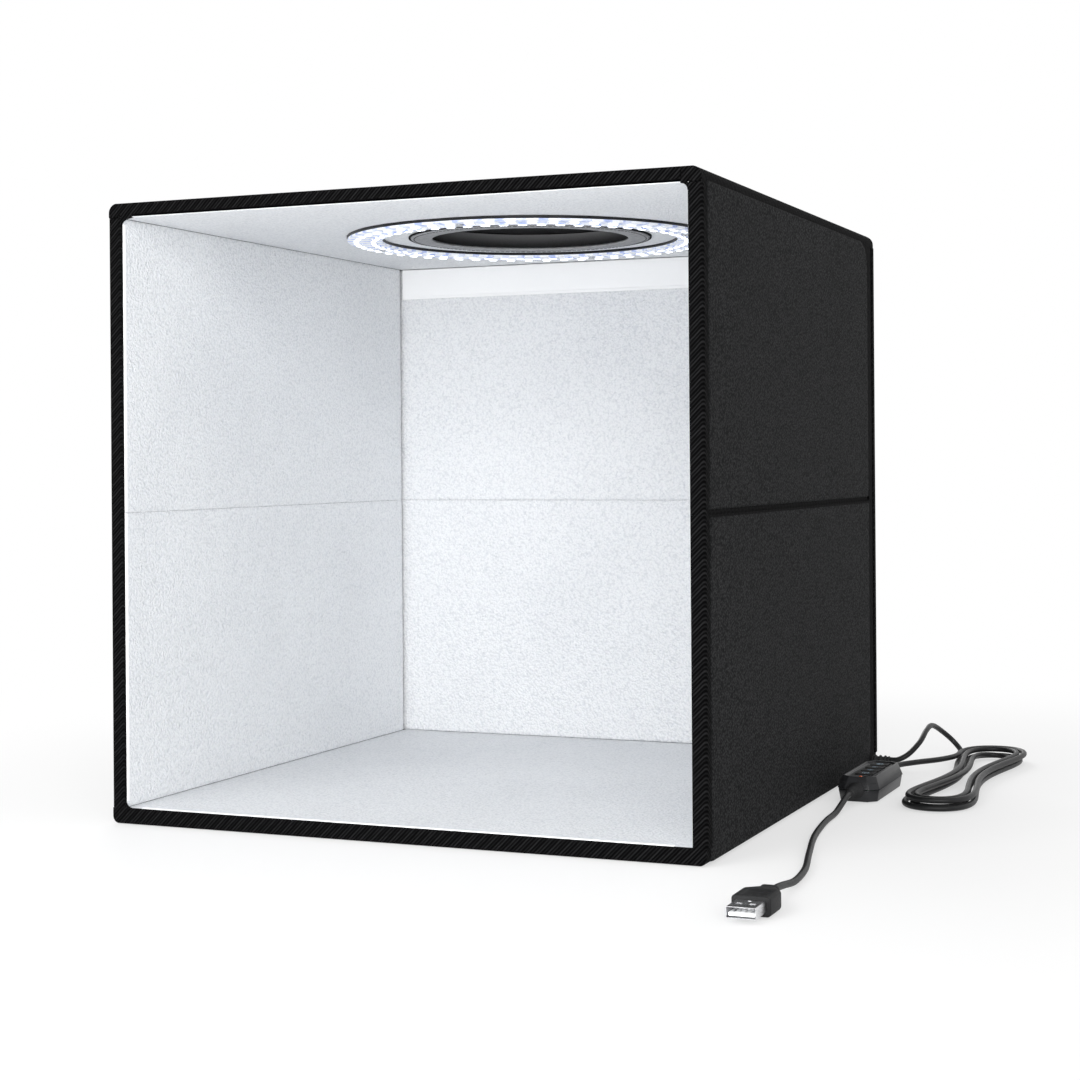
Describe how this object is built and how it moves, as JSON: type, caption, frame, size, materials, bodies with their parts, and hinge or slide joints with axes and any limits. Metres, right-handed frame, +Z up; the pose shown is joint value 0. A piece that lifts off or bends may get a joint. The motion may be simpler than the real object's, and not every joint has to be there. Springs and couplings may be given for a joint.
{
  "type": "folding light tent",
  "caption": "Folding cube light tent with an open front, silver lining, a ring light round a camera port in its ceiling, and a cord with an inline dimmer and plug.",
  "frame": {"origin": "centre of the tent's footprint, on the surface it stands on", "axes": "+Z up, -Y out of the open front, +X to the right seen from the front"},
  "size_m": [0.3825, 0.4475, 0.3019],
  "materials": {
    "cover_cloth": "black pebble-grained coated cloth",
    "binding_cloth": "black woven edge binding",
    "silver_lining": "embossed silver-white reflective lining",
    "white_strip": "matte white",
    "black_plastic": "fine matte black",
    "white_board": "white solder mask with small LEDs",
    "grey_collar": "grey felted cloth, stitched",
    "steel": "bright plated",
    "black_rubber": "soft satin black",
    "black_cord": "smooth black sleeve",
    "green_board": "green solder mask",
    "amber_lens": "clear amber"
  },
  "bodies": {
    "base": {"base_board": "cover_cloth", "base_lining": "silver_lining", "base_binding": "binding_cloth", "cord_gland": "black_rubber", "cord_lead": "black_cord", "cord_hank": "black_cord", "cord_link": "black_cord", "cord_tail": "black_cord", "controller_base": "black_plastic", "controller_cover": "black_plastic", "controller_circuit": "green_board", "controller_relief_rear": "black_rubber", "controller_relief_front": "black_rubber", "indicator_lens": "amber_lens", "plug_overmould": "black_rubber", "plug_shell": "steel", "plug_tongue": "white_board"},
    "left_lower_wall": {"left_lower_board": "cover_cloth", "left_lower_lining": "silver_lining", "left_lower_binding": "binding_cloth"},
    "left_upper_wall": {"left_upper_board": "cover_cloth", "left_upper_lining": "silver_lining", "left_upper_binding": "binding_cloth"},
    "top": {"top_board": "cover_cloth", "top_lining": "silver_lining", "top_binding": "binding_cloth", "ring_light_plate": "black_plastic", "ring_light_board": "white_board", "ring_light_screw_1": "steel", "ring_light_screw_2": "steel", "ring_light_screw_3": "steel", "ring_light_screw_4": "steel", "port_collar": "grey_collar", "port_cover_hinge": "binding_cloth"},
    "right_lower_wall": {"right_lower_board": "cover_cloth", "right_lower_lining": "silver_lining", "right_lower_binding": "binding_cloth"},
    "right_upper_wall": {"right_upper_board": "cover_cloth", "right_upper_lining": "silver_lining", "right_upper_binding": "binding_cloth"},
    "back_lower_wall": {"back_lower_board": "cover_cloth", "back_lower_lining": "silver_lining", "back_lower_binding": "binding_cloth"},
    "back_upper_wall": {"back_upper_board": "cover_cloth", "back_upper_lining": "silver_lining", "back_upper_binding": "binding_cloth", "backdrop_strip": "white_strip"},
    "port_cover": {"port_cover": "cover_cloth", "port_cover_tab": "binding_cloth"},
    "power_button": {"button_power": "black_rubber"},
    "brighter_button": {"button_brighter": "black_rubber"},
    "dimmer_button": {"button_dimmer": "black_rubber"},
    "tone_button": {"button_tone": "black_rubber"}
  },
  "joints": [
    {"name": "left_lower_fold", "type": "hinge", "parent": "base", "child": "left_lower_wall", "pos_m": [-0.1445, 0, 0.00765], "axis": [0, 1, 0], "range_deg": [0, 84]},
    {"name": "left_upper_fold", "type": "hinge", "parent": "left_lower_wall", "child": "left_upper_wall", "pos_m": [-0.152, 0, 0.15], "axis": [0, -1, 0], "range_deg": [0, 168]},
    {"name": "top_fold", "type": "hinge", "parent": "left_upper_wall", "child": "top", "pos_m": [-0.1445, 0, 0.29235], "axis": [0, 1, 0], "range_deg": [0, 84]},
    {"name": "right_lower_fold", "type": "hinge", "parent": "base", "child": "right_lower_wall", "pos_m": [0.1445, 0, 0.00765], "axis": [0, -1, 0], "range_deg": [0, 84]},
    {"name": "right_upper_fold", "type": "hinge", "parent": "right_lower_wall", "child": "right_upper_wall", "pos_m": [0.152, 0, 0.15], "axis": [0, 1, 0], "range_deg": [0, 168]},
    {"name": "back_lower_fold", "type": "hinge", "parent": "base", "child": "back_lower_wall", "pos_m": [0, 0.152, 0.00765], "axis": [-1, 0, 0], "range_deg": [0, 84]},
    {"name": "back_upper_fold", "type": "hinge", "parent": "back_lower_wall", "child": "back_upper_wall", "pos_m": [0, 0.1445, 0.15], "axis": [1, 0, 0], "range_deg": [0, 168]},
    {"name": "port_cover_hinge", "type": "hinge", "parent": "top", "child": "port_cover", "pos_m": [0, 0.084, 0.3011], "axis": [-1, 0, 0], "range_deg": [0, 110]},
    {"name": "power_press", "type": "slide", "parent": "base", "child": "power_button", "axis": [0, 0, -1], "range_m": [0, 0.0006], "stiffness_N_per_m": 900, "springref_m": -0.0004},
    {"name": "brighter_press", "type": "slide", "parent": "base", "child": "brighter_button", "axis": [0, 0, -1], "range_m": [0, 0.0006], "stiffness_N_per_m": 900, "springref_m": -0.0004},
    {"name": "dimmer_press", "type": "slide", "parent": "base", "child": "dimmer_button", "axis": [0, 0, -1], "range_m": [0, 0.0006], "stiffness_N_per_m": 900, "springref_m": -0.0004},
    {"name": "tone_press", "type": "slide", "parent": "base", "child": "tone_button", "axis": [0, 0, -1], "range_m": [0, 0.0006], "stiffness_N_per_m": 900, "springref_m": -0.0004}
  ],
  "couplings": [
    {"joint": "left_upper_fold", "follows": "left_lower_fold", "ratio": 2},
    {"joint": "top_fold", "follows": "left_lower_fold", "ratio": 1},
    {"joint": "right_lower_fold", "follows": "left_lower_fold", "ratio": 1},
    {"joint": "right_upper_fold", "follows": "left_lower_fold", "ratio": 2},
    {"joint": "back_lower_fold", "follows": "left_lower_fold", "ratio": 1},
    {"joint": "back_upper_fold", "follows": "left_lower_fold", "ratio": 2}
  ]
}
